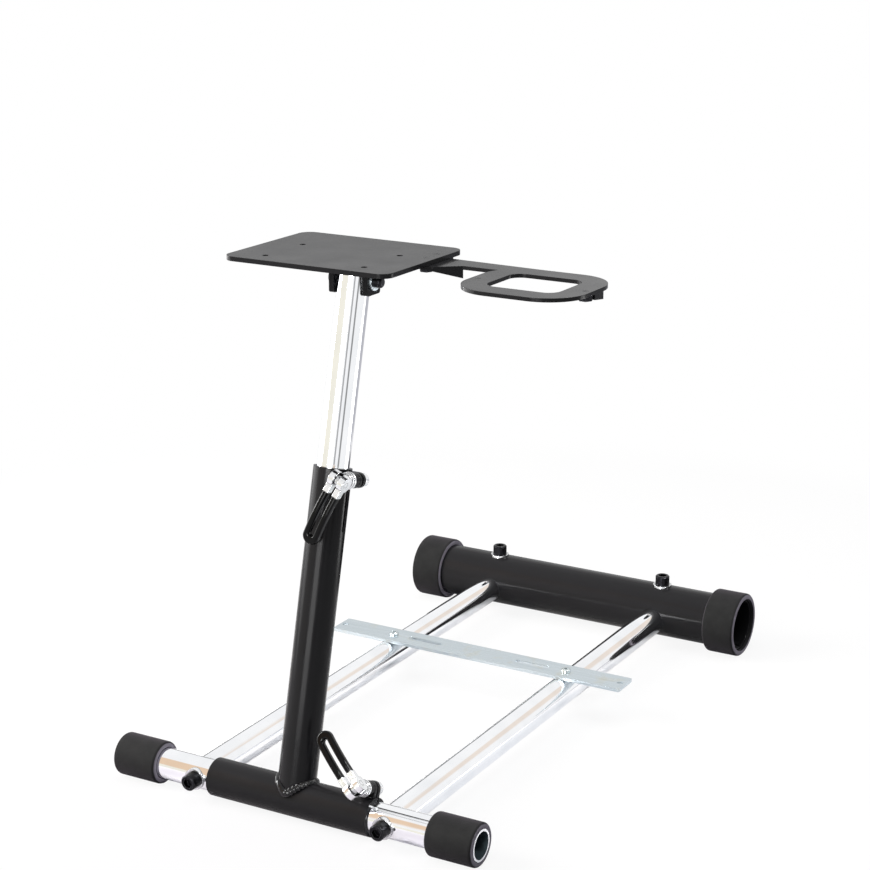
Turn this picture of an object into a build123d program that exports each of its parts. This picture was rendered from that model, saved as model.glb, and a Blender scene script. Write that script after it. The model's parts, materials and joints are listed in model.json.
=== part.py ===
from build123d import *
import os
from math import atan2, cos, degrees, hypot, radians, sin

# Folding floor stand for a racing wheel, a gear shifter and a set of pedals.
# Millimetres, +Z up. The driver sits at -Y, the pedals go over the two base tubes towards +Y.
# Everything is drawn about the middle of the front cross tube and is moved at the end, so that
# the origin is the middle of the footprint, on the floor.

# Tubes of the base
chrome_od = 35.0
chrome_wall = 2.5
front_length = 457.0
base_od = 34.0
base_wall = 2.5
base_depth = 686.0
base_plug = 26.0
rear_od = 67.0
rear_wall = 3.0
rear_length = 464.0
rear_drop = 6.0
rear_insert = 8.0

# Foam feet on the ends of the cross tubes
front_foot_od = 48.0
front_foot_length = 56.0
rear_foot_od = 81.5
rear_foot_length = 42.0
rear_foot_overhang = 4.0
foot_edge = 3.0

# Painted tubes of the post
sleeve_od = 42.4
sleeve_length = 203.0
sleeve_middle = -1.5
sleeve_room = 2.0
post_od = 42.0
post_length = 359.3
post_lean = 13.15
stem_insert = 184.5
stem_end = 12.0

# Clearances
running_gap = 0.1
seat_gap = 0.05
cam_gap = 0.3
ear_gap = 0.4

# Cam lever clamps
slit_width = 3.0
post_slit_length = 66.0
sleeve_slit_length = 48.0
lug_thickness = 4.5
lug_width = 17.0
lug_inset = 1.5
post_skewer_reach = 30.5
sleeve_skewer_reach = 28.75
sleeve_skewer_inset = 11.0
sleeve_lug_turn = 9.0
spacer_d = 16.6
spacer_height = 8.5
skewer_d = 8.0
skewer_tip = 2.0
skewer_eye_d = 11.0
nut_d = 14.5
nut_height = 10.0
nut_dome = 2.5
ring_d = 19.0
ring_step = 1.0
ring_pitch = 3.4
ring_round = 1.2
ring_count = 3
barrel_d = 15.0
saddle_wrap = 36.0
cam_pivot = 35.0
cam_radius = 9.0
cam_throw = 1.0
pin_d = 6.0
fork_gap = 5.5
arm_width = 7.0
arm_thickness = 8.0
arm_length = 16.0
lever_bow = 3.6
grip_thickness = 8.5
grip_skin = 1.8
grip_edge = 2.8
post_lever_length = 76.0
post_lever_angle = 158.0
sleeve_lever_length = 71.0
sleeve_lever_angle = 47.0

# Screws
bolt_d = 12.0
bolt_head_d = 18.0
bolt_head_height = 12.0
bolt_socket = 10.0
bolt_socket_depth = 6.0
bolt_edge = 1.2
front_bolt_reach = 22.0
washer_d = 24.0
washer_height = 1.6

# Flat bar under the pedals
bar_length = 399.0
bar_width = 37.5
bar_thickness = 4.0
bar_place = 407.0
bar_corner = 2.0
bar_hole_d = 7.0
bar_hole_inset = 7.0
bar_slot_length = 46.0
bar_slot_spacing = 150.0
screw_d = 6.0
screw_head_d = 11.0
screw_head_height = 3.5
screw_dome = 2.4
screw_socket = 4.0
screw_socket_depth = 2.0

# Tilting head
pivot_height = 559.6
pivot_bolt_d = 8.0
pivot_washer_d = 19.4
pivot_washer_height = 2.5
pivot_nut_d = 12.5
pivot_nut_height = 9.0
pivot_nut_dome = 3.5
pivot_head_d = 16.0
pivot_head_height = 6.0
pivot_head_dome = 4.5
ear_thickness = 6.0
ear_width = 26.0
ear_drop = 14.3
ear_corner = 3.0
web_thickness = 5.0
web_rise = 27.5
plate_width = 200.0
plate_depth = 160.0
plate_thickness = 5.0
plate_forward = 100.0
plate_corner = 14.0
plate_lip = 12.0
wheel_hole_d = 6.6
wheel_hole_x = 120.0
wheel_hole_y = 70.0
wheel_hole_forward = 22.0

# Shifter plate beside the head
sheet = 4.0
tray_gap = 66.0
tray_width = 134.0
tray_depth = 124.0
tray_ahead = 99.3
tray_corner = 44.0
neck_lap = 54.0
neck_ahead = 19.3
neck_depth = 48.0
neck_straight = 6.0
neck_taper_x = 25.0
neck_taper_y = 20.3
neck_flange_start = 0.8
neck_flange_end = 9.0
neck_bolt_inset = 11.0
neck_bolt_behind = 17.3
neck_bolt_spacing = 22.0
tray_tab_start = 5.5
tray_tab_end = 8.0
tray_tab_length = 19.0
tray_tab_place = 61.0
tray_opening_x = 80.0
tray_opening_y = 70.0
tray_opening_corner = 14.0
tray_bolt_inset = 7.0
tray_bolt_ahead = 8.0
hex_across = 13.0
hex_height = 5.5
hex_chamfer = 0.8

# Heights and places that follow from the sizes above
front_height = front_foot_od / 2
rear_height = rear_foot_od / 2
rise = rear_height - rear_drop - front_height
base_angle = degrees(atan2(rise, base_depth))
base_run = hypot(base_depth, rise)
sleeve_bore = chrome_od + 2 * running_gap
base_spacing = sleeve_length + base_od + 2 * sleeve_room
post_skewer_height = post_length - lug_width / 2 - lug_inset
sleeve_right = sleeve_middle + sleeve_length / 2
sleeve_skewer_x = sleeve_right - sleeve_skewer_inset
lug_face = slit_width / 2 + lug_thickness
spacer_face = lug_face + spacer_height
fork_width = 2 * arm_width + fork_gap
post_top = (0, sin(radians(post_lean)), cos(radians(post_lean)))
stem_top = pivot_height + stem_end
stem_bottom = post_length - stem_insert
pivot_y = pivot_height * post_top[1]
pivot_z = front_height + pivot_height * post_top[2]
plate_bottom = pivot_z + web_rise
ear_inner = chrome_od / 2 + ear_gap
ear_face = ear_inner + ear_thickness
tray_left = plate_width / 2 + tray_gap
tray_right = tray_left + tray_width
tray_x = (tray_left + tray_right) / 2
tray_front = pivot_y - tray_ahead
tray_back = tray_front + tray_depth
tray_y = (tray_front + tray_back) / 2
neck_start = plate_width / 2 - neck_lap
neck_front = pivot_y - neck_ahead
neck_back = neck_front + neck_depth
neck_bend = plate_width / 2 + neck_straight

# Frames: the leaning post, drawn upright, and the rising base tubes, drawn level
post_frame = Pos(0, 0, front_height) * Rot(-post_lean, 0, 0)
base_frame = Pos(0, 0, front_height) * Rot(base_angle, 0, 0)
head_frame = Pos(0, pivot_y, pivot_z)
along_x = Rot(0, 90, 0)
along_y = Rot(-90, 0, 0)


def rod(diameter, length):
    """Round bar on Z, centred on the origin."""
    return Cylinder(diameter / 2, length)


def tube(outer, inner, length):
    """Round tube on Z, centred on the origin."""
    return rod(outer, length) - rod(inner, length)


def front_cross_tube():
    """Chrome tube across the front, drilled for the two base tube bolts."""
    body = along_x * tube(chrome_od, chrome_od - 2 * chrome_wall, front_length)
    body = Pos(0, 0, front_height) * body
    for side in (-1, 1):
        hole = along_y * rod(bolt_d + 2 * running_gap, 2 * chrome_od)
        body -= base_frame * Pos(side * base_spacing / 2, 0, 0) * hole
    return body


def foot(outer, inner, length):
    """Foam sleeve with soft edges, on X, from the origin outwards to +X."""
    body = tube(outer, inner, length)
    circles = body.edges().filter_by(GeomType.CIRCLE)
    rims = circles.filter_by(lambda e: e.radius > outer / 2 - seat_gap)
    return Pos(length / 2, 0, 0) * along_x * fillet(rims, foot_edge)


def front_foot(side):
    """Foam sleeve over one end of the front cross tube."""
    body = foot(front_foot_od, chrome_od + 2 * seat_gap, front_foot_length)
    turn = Rot(0, 0, 0 if side > 0 else 180)
    start = Pos(side * (front_length / 2 - front_foot_length), 0, front_height)
    return start * turn * body


def rear_foot(side):
    """Larger foam sleeve that reaches past the end of the rear cross tube."""
    body = foot(rear_foot_od, rear_od + 2 * seat_gap, rear_foot_length)
    turn = Rot(0, 0, 0 if side > 0 else 180)
    start_x = rear_length / 2 + rear_foot_overhang - rear_foot_length
    return Pos(side * start_x, base_depth, rear_height) * turn * body


def base_tube(side):
    """Chrome tube from the front cross tube into the rear one, with a threaded front end."""
    end = base_run + rear_insert
    hollow_from = chrome_od / 2 + base_plug
    body = Pos(0, end / 2, 0) * along_y * rod(base_od, end)
    bore = along_y * rod(base_od - 2 * base_wall, end - hollow_from)
    body -= Pos(0, (hollow_from + end) / 2, 0) * bore
    body -= Pos(0, hollow_from, 0) * along_y * rod(bolt_d + 2 * running_gap, 2 * hollow_from)
    body = base_frame * Pos(side * base_spacing / 2, 0, 0) * body
    body -= Pos(0, 0, front_height) * along_x * rod(chrome_od + 2 * seat_gap, front_length)
    cross_hole = rod(bolt_d + 2 * running_gap, 2 * rear_od)
    return body - Pos(side * base_spacing / 2, base_depth, rear_height) * cross_hole


def rear_cross_tube():
    """Painted tube across the back, with a socket and a bolt hole for each base tube."""
    body = along_x * tube(rear_od, rear_od - 2 * rear_wall, rear_length)
    for side in (-1, 1):
        place = Pos(side * base_spacing / 2, 0, 0)
        body -= place * Pos(0, 0, rear_od / 2) * rod(bolt_d + 2 * running_gap, rear_od)
        socket = Pos(0, -base_depth, front_height - rear_height) * Rot(base_angle, 0, 0)
        reach = Pos(0, base_run - rear_od / 2, 0) * along_y * rod(base_od + 2 * seat_gap, rear_od)
        body -= place * socket * reach
    return Pos(0, base_depth, rear_height) * body


def socket_bolt(length):
    """Socket head screw on Z: the head stands on the origin, the shank hangs below it."""
    head = Pos(0, 0, bolt_head_height / 2) * rod(bolt_head_d, bolt_head_height)
    head = chamfer(head.edges().group_by(Axis.Z)[-1], bolt_edge)
    key = extrude(RegularPolygon(bolt_socket / 2, 6, major_radius=False), bolt_socket_depth)
    head -= Pos(0, 0, bolt_head_height - bolt_socket_depth) * key
    return head + Pos(0, 0, -length / 2) * rod(bolt_d, length)


def saddle_washer(tube_od):
    """Washer on Z under a screw head, hollowed to sit on a round tube that lies along X."""
    drop = tube_od / 2 - (tube_od ** 2 - washer_d ** 2) ** 0.5 / 2
    height = washer_height + drop
    ring = Pos(0, 0, -height / 2) * tube(washer_d, bolt_d + 2 * running_gap, height)
    hollow = along_x * rod(tube_od + 2 * seat_gap, 2 * washer_d)
    return ring - Pos(0, 0, -washer_height - tube_od / 2) * hollow


def front_bolt_place(side):
    """Frame of a front bolt: on the driver's side of the cross tube, pointing at the driver."""
    return base_frame * Pos(side * base_spacing / 2, -chrome_od / 2 - washer_height, 0) * Rot(90, 0, 0)


def rear_bolt_place(side):
    """Frame of a rear bolt, standing on top of the rear cross tube."""
    return Pos(side * base_spacing / 2, base_depth, rear_height + rear_od / 2 + washer_height)


def front_bolt(side):
    """Bolt through the front cross tube into the end of a base tube."""
    return front_bolt_place(side) * socket_bolt(washer_height + chrome_od + front_bolt_reach)


def rear_bolt(side):
    """Bolt down through the rear cross tube and the base tube inside it."""
    length = washer_height + rear_od / 2 + rear_drop + base_od / 2 + 2 * running_gap
    return rear_bolt_place(side) * socket_bolt(length)


def pedal_bar():
    """Zinc plated flat bar across both base tubes, with holes and slots for pedal screws."""
    outline = RectangleRounded(bar_length, bar_width, bar_corner)
    for side in (-1, 1):
        outline -= Pos(side * (bar_length / 2 - bar_hole_inset), 0) * Circle(bar_hole_d / 2)
        outline -= Pos(side * base_spacing / 2, 0) * Circle(screw_d / 2 + running_gap)
        outline -= Pos(side * bar_slot_spacing / 2, 0) * SlotOverall(bar_slot_length, bar_hole_d)
    return base_frame * Pos(0, bar_place, base_od / 2 + seat_gap) * extrude(outline, bar_thickness)


def pedal_bar_screw(side):
    """Button head screw that holds the flat bar down on a base tube."""
    head = Pos(0, 0, screw_head_height / 2) * rod(screw_head_d, screw_head_height)
    head = fillet(head.edges().group_by(Axis.Z)[-1], screw_dome)
    key = extrude(RegularPolygon(screw_socket / 2, 6, major_radius=False), screw_socket_depth)
    head -= Pos(0, 0, screw_head_height - screw_socket_depth) * key
    shank = Pos(0, 0, -bar_thickness / 2) * rod(screw_d, bar_thickness)
    seat = base_od / 2 + seat_gap + bar_thickness
    return base_frame * Pos(side * base_spacing / 2, bar_place, seat) * (head + shank)


def clamp_lugs(reach, root):
    """Two round ended tabs either side of a slit: they rise along +Z from root to reach, on Y."""
    flat = Pos(0, (root + reach) / 2) * Rectangle(lug_width, reach - root)
    flat += Pos(0, reach) * Circle(lug_width / 2)
    flat -= Pos(0, reach) * Circle(skewer_d / 2 + running_gap)
    tab = Rot(90, 0, 0) * extrude(flat, lug_thickness)
    return [Pos(0, lug_face, 0) * tab, Pos(0, -slit_width / 2, 0) * tab]


def slit(length):
    """Saw cut with a round end: a tall blade that runs along +X from its end at the origin."""
    blade = Pos(length / 2, 0, sleeve_od / 2) * Box(length, slit_width, sleeve_od)
    return blade + Pos(0, 0, sleeve_od / 2) * rod(slit_width, sleeve_od)


def pivot_sleeve():
    """Painted sleeve that turns on the front cross tube, split and lugged at its right end."""
    body = Pos(sleeve_middle, 0, 0) * along_x * rod(sleeve_od, sleeve_length)
    turned = Rot(-sleeve_lug_turn, 0, 0)
    place = turned * Pos(sleeve_skewer_x, 0, 0)
    body += [place * lug for lug in clamp_lugs(sleeve_skewer_reach, sleeve_bore / 2)]
    body -= along_x * rod(sleeve_bore, 2 * sleeve_length)
    body -= turned * Pos(sleeve_right - sleeve_slit_length, 0, 0) * slit(2 * sleeve_slit_length)
    return post_frame * body


def lower_post():
    """Painted post tube, coped on the sleeve, split and lugged at the right of its top."""
    body = Pos(0, 0, post_length / 2) * rod(post_od, post_length)
    turned = Pos(0, 0, post_skewer_height) * Rot(0, 90, 0)
    body += [turned * lug for lug in clamp_lugs(post_skewer_reach, sleeve_bore / 2)]
    body -= Pos(0, 0, post_length / 2) * rod(sleeve_bore, post_length)
    cut = Pos(0, 0, post_length - post_slit_length) * Rot(0, -90, 0) * Rot(180, 0, 0)
    body -= cut * slit(2 * post_slit_length)
    body -= along_x * rod(sleeve_od + 2 * seat_gap, sleeve_length)
    return post_frame * body


def clamp_frame(x, z, angle, turn):
    """Frame of a clamp: Z runs along the skewer to the driver, X along the closed lever."""
    lever = (-sin(radians(angle)), 0, cos(radians(angle)))
    skewer = Plane((x, 0, z), x_dir=lever, z_dir=(0, -1, 0)).location
    return post_frame * Rot(-turn, 0, 0) * skewer


def clamp_nut():
    """Round domed nut behind the rear lug."""
    body = Pos(0, 0, -lug_face - nut_height / 2) * tube(nut_d, skewer_d + 2 * seat_gap, nut_height)
    rim = body.edges().filter_by(GeomType.CIRCLE).group_by(Axis.Z)[0].sort_by(SortBy.RADIUS)[-1]
    return fillet(rim, nut_dome)


def clamp_spacer():
    """Black ring between the front lug and the rings of the saddle."""
    ring = tube(spacer_d, skewer_d + 2 * seat_gap, spacer_height)
    return Pos(0, 0, lug_face + spacer_height / 2) * ring


def clamp_skewer():
    """Rod through both lugs with a flat eye at the lever's pin, the pin standing in it."""
    tail = lug_face + nut_height + skewer_tip
    neck = cam_pivot - cam_throw - cam_radius - cam_gap
    stem = Pos(0, 0, (neck - tail) / 2) * rod(skewer_d, neck + tail)
    tang = fork_gap - 4 * running_gap
    flat = (skewer_d ** 2 - tang ** 2) ** 0.5
    eye = Pos(0, 0, (neck + cam_pivot) / 2) * Box(flat, tang, cam_pivot - neck)
    eye += Pos(0, 0, cam_pivot) * along_y * rod(skewer_eye_d, tang)
    pin = Pos(0, 0, cam_pivot) * along_y * rod(pin_d, fork_width)
    return stem + eye + pin


def clamp_saddle():
    """Stack of rings and a barrel, hollowed in front to take the cam."""
    face = cam_pivot - cam_throw - cam_radius * cos(radians(saddle_wrap))
    body = Pos(0, 0, (spacer_face + face) / 2) * rod(barrel_d, face - spacer_face)
    for index in range(ring_count):
        ring = rod(ring_d - index * ring_step, ring_pitch)
        ring = fillet(ring.edges(), ring_round)
        body += Pos(0, 0, spacer_face + (index + 0.5) * ring_pitch) * ring
    cam_seat = along_y * rod(2 * (cam_radius + cam_gap), 2 * barrel_d)
    body -= Pos(0, 0, cam_pivot - cam_throw) * cam_seat
    return body - Pos(0, 0, cam_pivot / 2) * rod(skewer_d + 2 * seat_gap, 2 * cam_pivot)


def hairpin(length, skin):
    """Outline of the bent bar of a lever, a skin's thickness inside the grip: two legs and a bend."""
    width = fork_width - 2 * skin
    gap = fork_gap + 2 * skin
    bend = length - fork_width / 2
    slot_end = bend - fork_gap / 2
    outline = Pos((arm_length + bend) / 2, 0) * Rectangle(bend - arm_length, width)
    outline += Pos(bend, 0) * Circle(width / 2)
    outline -= Pos((arm_length + slot_end) / 2, 0) * Rectangle(slot_end - arm_length, gap)
    return outline - Pos(slot_end, 0) * Circle(gap / 2)


def bowed(outline, length, thickness):
    """Gives a lever's outline its thickness and its bow: the middle stands out to the driver."""
    radius = (length ** 2 / 4 + lever_bow ** 2) / (2 * lever_bow)
    band = along_y * tube(2 * radius + thickness, 2 * radius - thickness, 2 * fork_width)
    blank = Pos(0, 0, cam_pivot - length / 2) * extrude(outline, length)
    return blank & Pos(length / 2, 0, cam_pivot + lever_bow - radius) * band


def clamp_lever(length):
    """Chrome fork: two arms with cam eyes off centre on the pin, and the bent bar in the grip."""
    body = bowed(hairpin(length, grip_skin), length, arm_thickness - 2 * grip_skin)
    for side in (-1, 1):
        middle = side * (fork_gap + arm_width) / 2
        arm = Pos(arm_length / 2, middle) * Rectangle(arm_length, arm_width)
        body += bowed(arm, length, arm_thickness)
        body += Pos(0, middle, cam_pivot - cam_throw) * along_y * rod(2 * cam_radius, arm_width)
    return body - Pos(0, 0, cam_pivot) * along_y * rod(pin_d + 2 * seat_gap, 2 * fork_width)


def clamp_grip(length):
    """Vinyl dipped over the bent bar: a thick skin with the long slot left open."""
    skin = bowed(hairpin(length, 0), length, grip_thickness)
    rims = skin.edges().filter_by(lambda e: e.center().X > arm_length + seat_gap)
    rims = rims.filter_by(lambda e: e.length > grip_thickness + seat_gap)
    return fillet(rims, grip_edge) - clamp_lever(length)


def upper_post():
    """Chrome post that slides in the painted one, cross drilled at its top for the pivot bolt."""
    length = stem_top - stem_bottom
    body = tube(chrome_od, chrome_od - 2 * chrome_wall, length)
    body = Pos(0, 0, (stem_top + stem_bottom) / 2) * body
    body -= Pos(0, 0, pivot_height) * along_x * rod(pivot_bolt_d + 2 * seat_gap, 2 * chrome_od)
    return post_frame * body


def tilt_bracket():
    """U shaped bracket under the wheel plate: two ears either side of the chrome post."""
    height = web_rise + ear_drop
    ear = Pos(0, (web_rise - ear_drop) / 2) * Rectangle(ear_width, height)
    ear = fillet(ear.vertices().group_by(Axis.Y)[0], ear_corner)
    ear -= Circle(pivot_bolt_d / 2 + seat_gap)
    blank = Rot(0, 0, 90) * Rot(90, 0, 0) * extrude(ear, ear_thickness)
    web = Box(2 * ear_face, ear_width, web_thickness)
    body = Pos(0, 0, web_rise - web_thickness / 2) * web
    for start in (ear_inner, -ear_face):
        body += Pos(start, 0, 0) * blank
    return head_frame * body


def pivot_bolt():
    """Dome headed bolt through the ears and the chrome post."""
    length = 2 * ear_face + pivot_washer_height + pivot_nut_height / 2
    head = Pos(0, 0, -pivot_head_height / 2) * rod(pivot_head_d, pivot_head_height)
    head = fillet(head.edges().group_by(Axis.Z)[0], pivot_head_dome)
    body = head + Pos(0, 0, length / 2) * rod(pivot_bolt_d, length)
    return head_frame * Pos(-ear_face, 0, 0) * along_x * body


def pivot_washer():
    """Bright washer between the right ear and the cap nut."""
    ring = tube(pivot_washer_d, pivot_bolt_d + 2 * seat_gap, pivot_washer_height)
    return head_frame * Pos(ear_face + pivot_washer_height / 2, 0, 0) * along_x * ring


def pivot_nut():
    """Black cap nut on the end of the pivot bolt."""
    body = Pos(0, 0, pivot_nut_height / 2) * rod(pivot_nut_d, pivot_nut_height)
    body = fillet(body.edges().group_by(Axis.Z)[-1], pivot_nut_dome)
    body -= rod(pivot_bolt_d + 2 * seat_gap, pivot_nut_height)
    return head_frame * Pos(ear_face + pivot_washer_height, 0, 0) * along_x * body


def wheel_plate():
    """Steel plate for the wheel base, with a turned down back edge and four bolt holes."""
    middle = pivot_y - plate_forward + plate_depth / 2
    outline = RectangleRounded(plate_width, plate_depth, plate_corner)
    for place in GridLocations(wheel_hole_x, wheel_hole_y, 2, 2):
        outline -= Pos(0, -wheel_hole_forward) * place * Circle(wheel_hole_d / 2)
    body = extrude(outline, plate_thickness)
    lip = Box(plate_width - 2 * plate_corner, plate_thickness, plate_lip)
    body += Pos(0, (plate_depth - plate_thickness) / 2, -plate_lip / 2) * lip
    body = Pos(0, middle, plate_bottom) * body
    for place in neck_bolt_places():
        body -= place * rod(screw_d + 2 * running_gap, 4 * plate_thickness)
    return body


def neck_bolt_places():
    """Where the shifter plate is bolted under the wheel plate."""
    x = plate_width / 2 - neck_bolt_inset
    y = neck_front + neck_bolt_behind
    return [Pos(x, y + index * neck_bolt_spacing, plate_bottom) for index in (0, 1)]


def tray_bolt_places():
    """Where the two shifter bolts stand, left and right of the opening."""
    half = tray_width / 2 - tray_bolt_inset
    return [Pos(tray_x + side * half, tray_y - tray_bolt_ahead, plate_bottom) for side in (-1, 1)]


def turned_edge(run, start, end):
    """Edge of the sheet bent down along +X: it hangs below the origin and grows from start to end."""
    corners = [(0, 0), (run, 0), (run, -end), (0, -start)]
    return Rot(90, 0, 0) * extrude(make_face(Polyline(*corners, close=True)), -sheet)


def shifter_plate():
    """Bent sheet beside the head: a neck under the wheel plate and a tray with an opening."""
    reach = tray_left + tray_corner
    taper = (neck_bend + neck_taper_x, neck_front + neck_taper_y)
    corners = [(neck_start, neck_front), (neck_bend, neck_front), taper, (reach, taper[1])]
    corners += [(reach, tray_back), (neck_bend, neck_back), (neck_start, neck_back)]
    outline = make_face(Polyline(*corners, close=True))
    outline += Pos(tray_x, tray_y) * RectangleRounded(tray_width, tray_depth, tray_corner)
    opening = RectangleRounded(tray_opening_x, tray_opening_y, tray_opening_corner)
    outline -= Pos(tray_x, tray_y) * opening
    body = extrude(outline, -sheet)
    slant = degrees(atan2(neck_taper_y, neck_taper_x))
    flange = turned_edge(hypot(neck_taper_x, neck_taper_y), neck_flange_start, neck_flange_end)
    body += Pos(neck_bend, neck_front, -sheet) * Rot(0, 0, slant) * flange
    tab = turned_edge(tray_tab_length, tray_tab_start, tray_tab_end)
    body += Pos(tray_right, tray_front + tray_tab_place, -sheet) * Rot(0, 0, 90) * tab
    body = Pos(0, 0, plate_bottom) * body
    for place in neck_bolt_places() + tray_bolt_places():
        body -= place * rod(screw_d + 2 * running_gap, 4 * sheet)
    return body


def hex_bolt(length):
    """Hexagon screw, head down: the shank stands up from the origin."""
    head = extrude(RegularPolygon(hex_across / 2, 6, major_radius=False), -hex_height)
    head = chamfer(head.edges().group_by(Axis.Z)[0], hex_chamfer)
    return head + Pos(0, 0, length / 2) * rod(screw_d, length)


def neck_bolt(index):
    """Bolt up through the neck and the wheel plate."""
    return neck_bolt_places()[index] * Pos(0, 0, -sheet) * hex_bolt(sheet + plate_thickness)


def tray_bolt(index):
    """Bolt up through the tray for a shifter's foot."""
    return tray_bolt_places()[index] * Pos(0, 0, -sheet) * hex_bolt(sheet)


def build():
    """Every piece of the stand by its name, about the middle of the front cross tube."""
    pieces = {
        "front_cross_tube": front_cross_tube(),
        "rear_cross_tube": rear_cross_tube(),
        "pedal_bar": pedal_bar(),
        "pivot_sleeve": pivot_sleeve(),
        "lower_post": lower_post(),
        "upper_post": upper_post(),
        "tilt_bracket": tilt_bracket(),
        "pivot_bolt": pivot_bolt(),
        "pivot_washer": pivot_washer(),
        "pivot_nut": pivot_nut(),
        "wheel_plate": wheel_plate(),
        "shifter_plate": shifter_plate(),
    }
    for name, side in (("left", -1), ("right", 1)):
        pieces[f"front_foot_{name}"] = front_foot(side)
        pieces[f"rear_foot_{name}"] = rear_foot(side)
        pieces[f"base_tube_{name}"] = base_tube(side)
        pieces[f"front_bolt_{name}"] = front_bolt(side)
        pieces[f"front_washer_{name}"] = front_bolt_place(side) * saddle_washer(chrome_od)
        pieces[f"rear_bolt_{name}"] = rear_bolt(side)
        pieces[f"rear_washer_{name}"] = rear_bolt_place(side) * saddle_washer(rear_od)
        pieces[f"pedal_bar_screw_{name}"] = pedal_bar_screw(side)
    for index, name in enumerate(("front", "back")):
        pieces[f"neck_bolt_{name}"] = neck_bolt(index)
    for index, name in enumerate(("left", "right")):
        pieces[f"tray_bolt_{name}"] = tray_bolt(index)
    base_place = clamp_frame(sleeve_skewer_x, sleeve_skewer_reach, sleeve_lever_angle, sleeve_lug_turn)
    post_place = clamp_frame(post_skewer_reach, post_skewer_height, post_lever_angle, 0)
    for name, place, length in (
        ("base_clamp", base_place, sleeve_lever_length),
        ("post_clamp", post_place, post_lever_length),
    ):
        pieces[f"{name}_nut"] = place * clamp_nut()
        pieces[f"{name}_skewer"] = place * clamp_skewer()
        pieces[f"{name}_spacer"] = place * clamp_spacer()
        pieces[f"{name}_saddle"] = place * clamp_saddle()
        pieces[f"{name}_lever"] = place * clamp_lever(length)
        pieces[f"{name}_grip"] = place * clamp_grip(length)
    return pieces


def main():
    """Build the pieces, put the origin in the middle of the footprint and write the files."""
    pieces = build()
    box = Compound(children=[Compound(p.solids()) for p in pieces.values()]).bounding_box()
    to_origin = Pos(-box.center().X, -box.center().Y, 0)
    os.makedirs("parts", exist_ok=True)
    for name, piece in pieces.items():
        export_step(to_origin * piece, f"parts/{name}.step")


main()
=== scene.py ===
import json
import logging
from dataclasses import dataclass
from enum import Enum
from math import cos, pi, radians, sin
from typing import ClassVar

import bmesh
import bpy
import numpy as np
from mathutils import Matrix, Vector


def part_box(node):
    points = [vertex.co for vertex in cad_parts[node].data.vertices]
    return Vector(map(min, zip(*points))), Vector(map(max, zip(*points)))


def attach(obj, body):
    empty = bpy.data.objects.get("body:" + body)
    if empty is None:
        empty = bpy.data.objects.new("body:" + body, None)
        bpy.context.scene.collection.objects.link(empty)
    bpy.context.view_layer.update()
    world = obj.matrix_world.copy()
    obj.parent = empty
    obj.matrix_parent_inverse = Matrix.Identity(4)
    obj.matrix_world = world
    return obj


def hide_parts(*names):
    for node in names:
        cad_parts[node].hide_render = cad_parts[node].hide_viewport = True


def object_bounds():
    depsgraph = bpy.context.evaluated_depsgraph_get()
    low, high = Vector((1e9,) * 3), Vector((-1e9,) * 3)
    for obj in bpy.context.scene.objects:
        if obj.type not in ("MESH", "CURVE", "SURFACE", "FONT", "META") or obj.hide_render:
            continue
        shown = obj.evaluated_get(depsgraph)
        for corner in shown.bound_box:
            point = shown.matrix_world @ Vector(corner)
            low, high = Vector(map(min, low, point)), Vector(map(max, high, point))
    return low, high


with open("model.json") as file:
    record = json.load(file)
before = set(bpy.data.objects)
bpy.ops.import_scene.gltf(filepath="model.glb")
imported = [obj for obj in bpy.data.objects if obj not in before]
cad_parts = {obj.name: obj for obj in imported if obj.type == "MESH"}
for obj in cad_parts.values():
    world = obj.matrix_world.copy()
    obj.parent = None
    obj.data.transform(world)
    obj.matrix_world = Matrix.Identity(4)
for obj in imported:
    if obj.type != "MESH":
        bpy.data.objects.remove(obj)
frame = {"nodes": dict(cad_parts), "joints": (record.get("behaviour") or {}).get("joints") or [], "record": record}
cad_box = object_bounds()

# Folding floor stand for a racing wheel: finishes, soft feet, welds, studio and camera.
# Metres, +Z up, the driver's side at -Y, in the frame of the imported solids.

LOG = logging.getLogger("stand")
MM = 0.001
WHITE = "#ffffff"

# Side of the photograph in pixels, and width of the camera's sensor in millimetres
PHOTO_SIDE = 870.0
SENSOR = 36.0

# Direction across the stand, to the right
ACROSS = np.array((1.0, 0.0, 0.0))

# Points nearer than this are merged
MERGE = 1e-6

# Degrees by which the post leans back at rest
POST_LEAN = 13.15

# Socket numbers of a colour mix: its share, its two colours and its result
SHARE, BASE, OVER, MIXED = 0, 6, 7, 2

# Sockets of the surface shader that a pattern feeds, in its order
FED = ("Base Color", "Roughness", "Normal")

Colour = tuple[float, float, float, float]
Point = tuple[float, float, float]
Tree = bpy.types.NodeTree
Socket = bpy.types.NodeSocket
Piece = bpy.types.Object
Look = tuple[Socket, Socket, Socket]


def linear(code: str) -> Colour:
    """Turns an sRGB hex code into linear light.

    Args:
        code: six hex digits after a hash sign

    Returns:
        red, green, blue and an alpha of 1
    """
    srgb = np.array([int(code[i:i + 2], 16) for i in (1, 3, 5)]) / 255.0
    light = np.where(srgb <= 0.04045, srgb / 12.92, ((srgb + 0.055) / 1.055) ** 2.4)
    return (*light.tolist(), 1.0)


def node(tree: Tree, kind: str, inputs: dict | None = None, **settings: object) -> bpy.types.NodeOutputs:
    """Adds one shader node with its settings and links.

    Args:
        tree: node tree that gets the node
        kind: type name of the node without its leading "ShaderNode"
        inputs: socket name or number, to a constant or to the output that feeds it
        settings: properties of the node itself

    Returns:
        the outputs of the new node, by name or number
    """
    made = tree.nodes.new("ShaderNode" + kind)
    for name, value in settings.items():
        setattr(made, name, value)
    for socket, value in (inputs or {}).items():
        if isinstance(value, Socket):
            tree.links.new(value, made.inputs[socket])
        else:
            made.inputs[socket].default_value = value
    return made.outputs


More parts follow.
